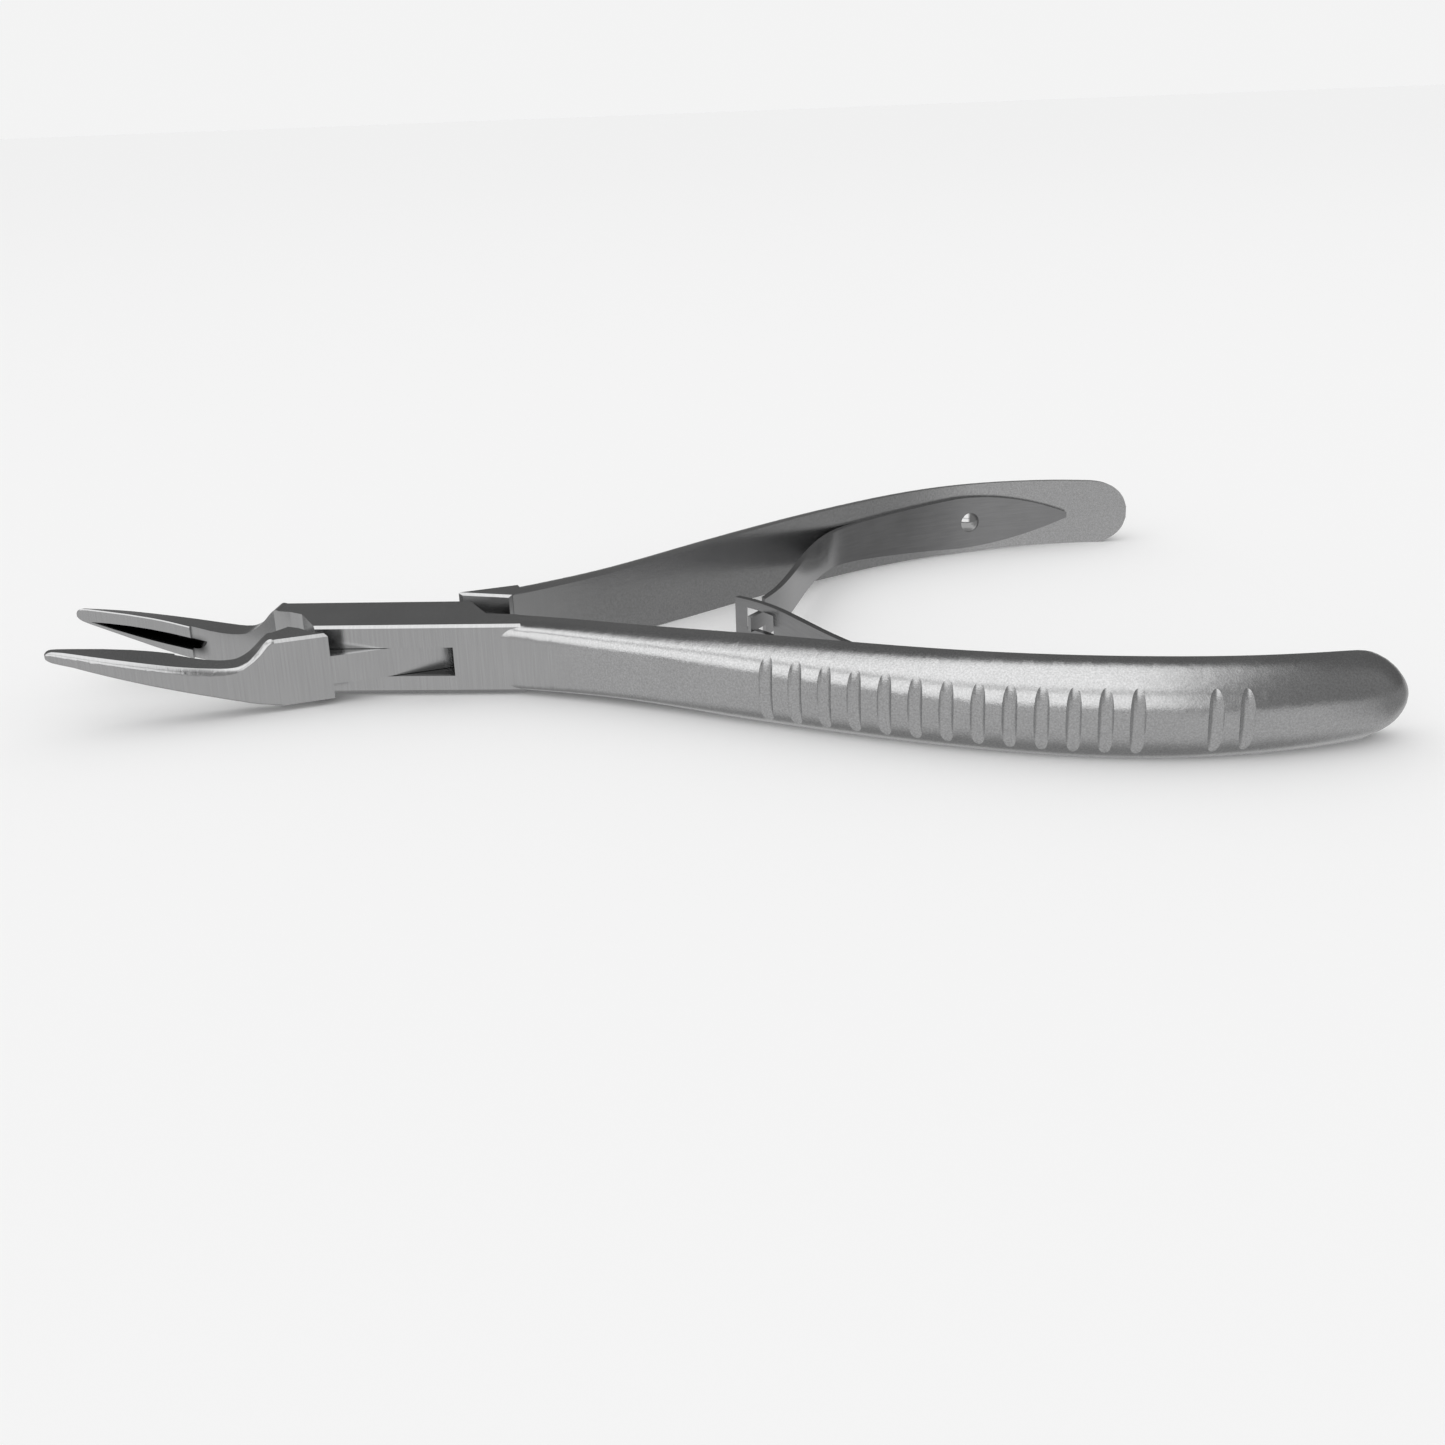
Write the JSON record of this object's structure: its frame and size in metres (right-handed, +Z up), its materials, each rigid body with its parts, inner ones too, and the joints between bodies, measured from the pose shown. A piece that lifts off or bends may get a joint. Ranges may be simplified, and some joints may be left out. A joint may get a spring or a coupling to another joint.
{
  "type": "spring-loaded box-joint gouge pliers",
  "caption": "Sprung box-joint pliers with upturned hollow gouge jaws, bowed scalloped handles and interlocking leaf springs.",
  "frame": {"origin": "on the flat lower face of the box joint, where the pivot axis leaves it", "axes": "+X along the box lever from the pivot towards the handle end, +Y towards the tongue lever's handle, +Z up the pivot axis"},
  "size_m": [0.15, 0.0932, 0.011],
  "materials": {
    "forged_steel": "satin",
    "spring_steel": "brushed",
    "rivet_steel": "polished"
  },
  "bodies": {
    "box_half": {"box_lever": "forged_steel", "pivot_pin": "forged_steel", "box_side_rivet": "rivet_steel"},
    "tongue_half": {"tongue_lever": "forged_steel", "tongue_side_rivet": "rivet_steel"},
    "box_leaf": {"windowed_spring": "spring_steel"},
    "tongue_leaf": {"hooked_spring": "spring_steel"}
  },
  "joints": [
    {"name": "lever_pivot", "type": "hinge", "parent": "box_half", "child": "tongue_half", "pos_m": [0, 0, 0.0041], "axis": [0, 0, 1], "range_deg": [-24.4, 0], "stiffness_Nm_per_rad": 1.6, "springref_deg": 8.59},
    {"name": "box_leaf_flex", "type": "hinge", "parent": "box_half", "child": "box_leaf", "pos_m": [0.0645, -0.017, 0.0041], "axis": [0, 0, 1], "range_deg": [0, 21], "deforming": ["windowed_spring"]},
    {"name": "tongue_leaf_flex", "type": "hinge", "parent": "tongue_half", "child": "tongue_leaf", "pos_m": [0.05172, 0.04213, 0.0041], "axis": [0, 0, 1], "range_deg": [-21, 0], "deforming": ["hooked_spring"]}
  ],
  "couplings": [
    {"joint": "box_leaf_flex", "follows": "lever_pivot", "ratio": -0.858},
    {"joint": "tongue_leaf_flex", "follows": "lever_pivot", "ratio": 0.858}
  ]
}
